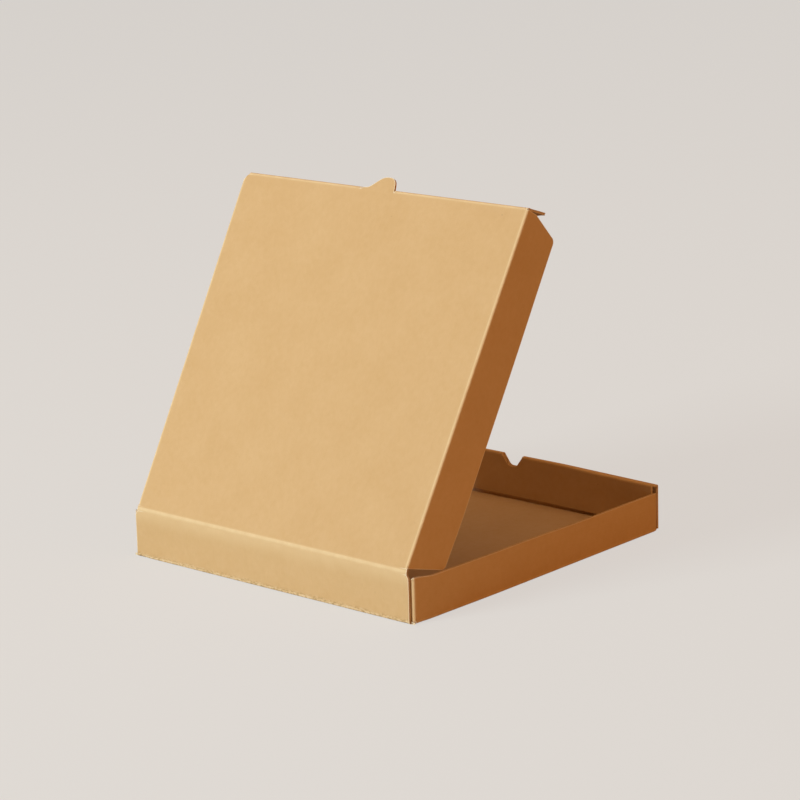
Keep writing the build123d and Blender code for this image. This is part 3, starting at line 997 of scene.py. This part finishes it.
studio = {
    "floor": "#c2b49e",
    "backdrop": "#f4f2ee",
    "floorGlow": 0.68,  # share of the plain backdrop in what the camera sees of the floor
    "keyTint": "#c3e0ff",
    "keyPower": 325.0,
    "keySize": 1.8,
    "keyFrom": (0.27, 0.90, 0.32),
    "keyDistance": 5.0,
    "topTint": "#ffcf9e",
    "topPower": 22.0,
    "topSize": 3.0,
    "topHeight": 3.2,
    "sideTint": "#ffc48e",
    "sidePower": 49.0,
    "sideSize": 1.3,
    "sideFrom": (-5.5, -0.2, 0.75),
    "fillTint": "#ffae64",
    "fill": 0.20,
    "floorRadius": 14.0,
    "floorSides": 96,
    "floorDrop": 0.0002,  # keeps the floor just clear of the box
}


def addLamp(name, tint, power, size, place, aim):
    light = bpy.data.lights.new(name, "AREA")
    light.energy = power
    light.size = size
    light.color = linear(tint)[:3]
    lamp = bpy.data.objects.new(name, light)
    lamp.location = place
    lamp.rotation_euler = (Vector(place) - Vector(aim)).to_track_quat("Z", "Y").to_euler()
    bpy.context.scene.collection.objects.link(lamp)


middle = Vector((0, 0, 0.15))
keyPlace = middle + Vector(studio["keyFrom"]).normalized() * studio["keyDistance"]
topPlace = (0, 0, studio["topHeight"])
addLamp("key", studio["keyTint"], studio["keyPower"], studio["keySize"], keyPlace, middle)
addLamp("top", studio["topTint"], studio["topPower"], studio["topSize"], topPlace, (0, 0, 0))
addLamp("side", studio["sideTint"], studio["sidePower"], studio["sideSize"], studio["sideFrom"], middle)

ground = bpy.data.meshes.new("studio_floor")
turns = [2 * math.pi * k / studio["floorSides"] for k in range(studio["floorSides"])]
reach, drop = studio["floorRadius"], -studio["floorDrop"]
rim = [(reach * math.cos(turn), reach * math.sin(turn), drop) for turn in turns]
ground.from_pydata(rim, [], [list(range(len(rim)))])
floor = bpy.data.objects.new("studio_floor", ground)
bpy.context.scene.collection.objects.link(floor)
floorPaint, tree = newMaterial("matte_studio_paint")
seen = addNode(tree, "LightPath", {}, "Is Camera Ray")
share = addNode(tree, "Math", {0: seen, 1: studio["floorGlow"]}, operation="MULTIPLY")
surface = {"Base Color": linear(studio["floor"]), "Roughness": 0.9, "Specular IOR Level": 0.1}
matte = addNode(tree, "BsdfPrincipled", surface)
glow = addNode(tree, "Emission", {"Color": linear(studio["backdrop"]), "Strength": 1.0})
paint = addNode(tree, "MixShader", {0: share, 1: matte, 2: glow})
addNode(tree, "OutputMaterial", {"Surface": paint})
ground.materials.append(floorPaint)

# the box is filled with warm light, and the camera and the gloss see the plain backdrop
world = bpy.data.worlds.new("studio_air")
bpy.context.scene.world = world
world.use_nodes = True
tree = world.node_tree
tree.nodes.clear()
seen = addNode(tree, "LightPath", {}, "Is Camera Ray")
shownTo = addNode(tree, "Math", {0: seen, 1: seen.node.outputs["Is Glossy Ray"]}, operation="MAXIMUM")
air = addNode(tree, "Background", {"Color": linear(studio["fillTint"]), "Strength": studio["fill"]})
shown = addNode(tree, "Background", {"Color": linear(studio["backdrop"]), "Strength": 1.0})
both = addNode(tree, "MixShader", {0: shownTo, 1: air, 2: shown})
addNode(tree, "OutputWorld", {"Surface": both})
print("studio lit")


# Camera, at the photograph's angle

view = {
    "azimuth": 221.651,
    "elevation": 14.208,
    "roll": -1.634,
    "distance": 2560.9,  # mm, to the point it looks at
    "lookAtX": -8.55,
    "lookAtZ": 131.49,
    "focalPixels": 2935.3,
    "framePixels": 800,
    "sensor": 36.0,
    "clip": (0.05, 60),
}
azimuth = math.radians(view["azimuth"])
elevation = math.radians(view["elevation"])
roll = math.radians(view["roll"])
level = math.cos(elevation)
back = Vector((math.sin(azimuth) * level, -math.cos(azimuth) * level, math.sin(elevation)))
right = (-back).cross(Vector((0, 0, 1))).normalized()
up = right.cross(-back)
tiltedRight = right * math.cos(roll) + up * math.sin(roll)
tiltedUp = up * math.cos(roll) - right * math.sin(roll)
lens = bpy.data.cameras.new("photo_camera")
lens.sensor_width = view["sensor"]
lens.lens = view["focalPixels"] / view["framePixels"] * view["sensor"]
lens.clip_start, lens.clip_end = view["clip"]
camera = bpy.data.objects.new("photo_camera", lens)
bpy.context.scene.collection.objects.link(camera)
target = Vector((view["lookAtX"], 0, view["lookAtZ"])) * mm
turn = Matrix((tiltedRight, tiltedUp, back)).transposed()
camera.matrix_world = Matrix.Translation(target + back * view["distance"] * mm) @ turn.to_4x4()
bpy.context.scene.camera = camera

bpy.context.scene.view_settings.view_transform = "Standard"
bpy.context.view_layer.update()
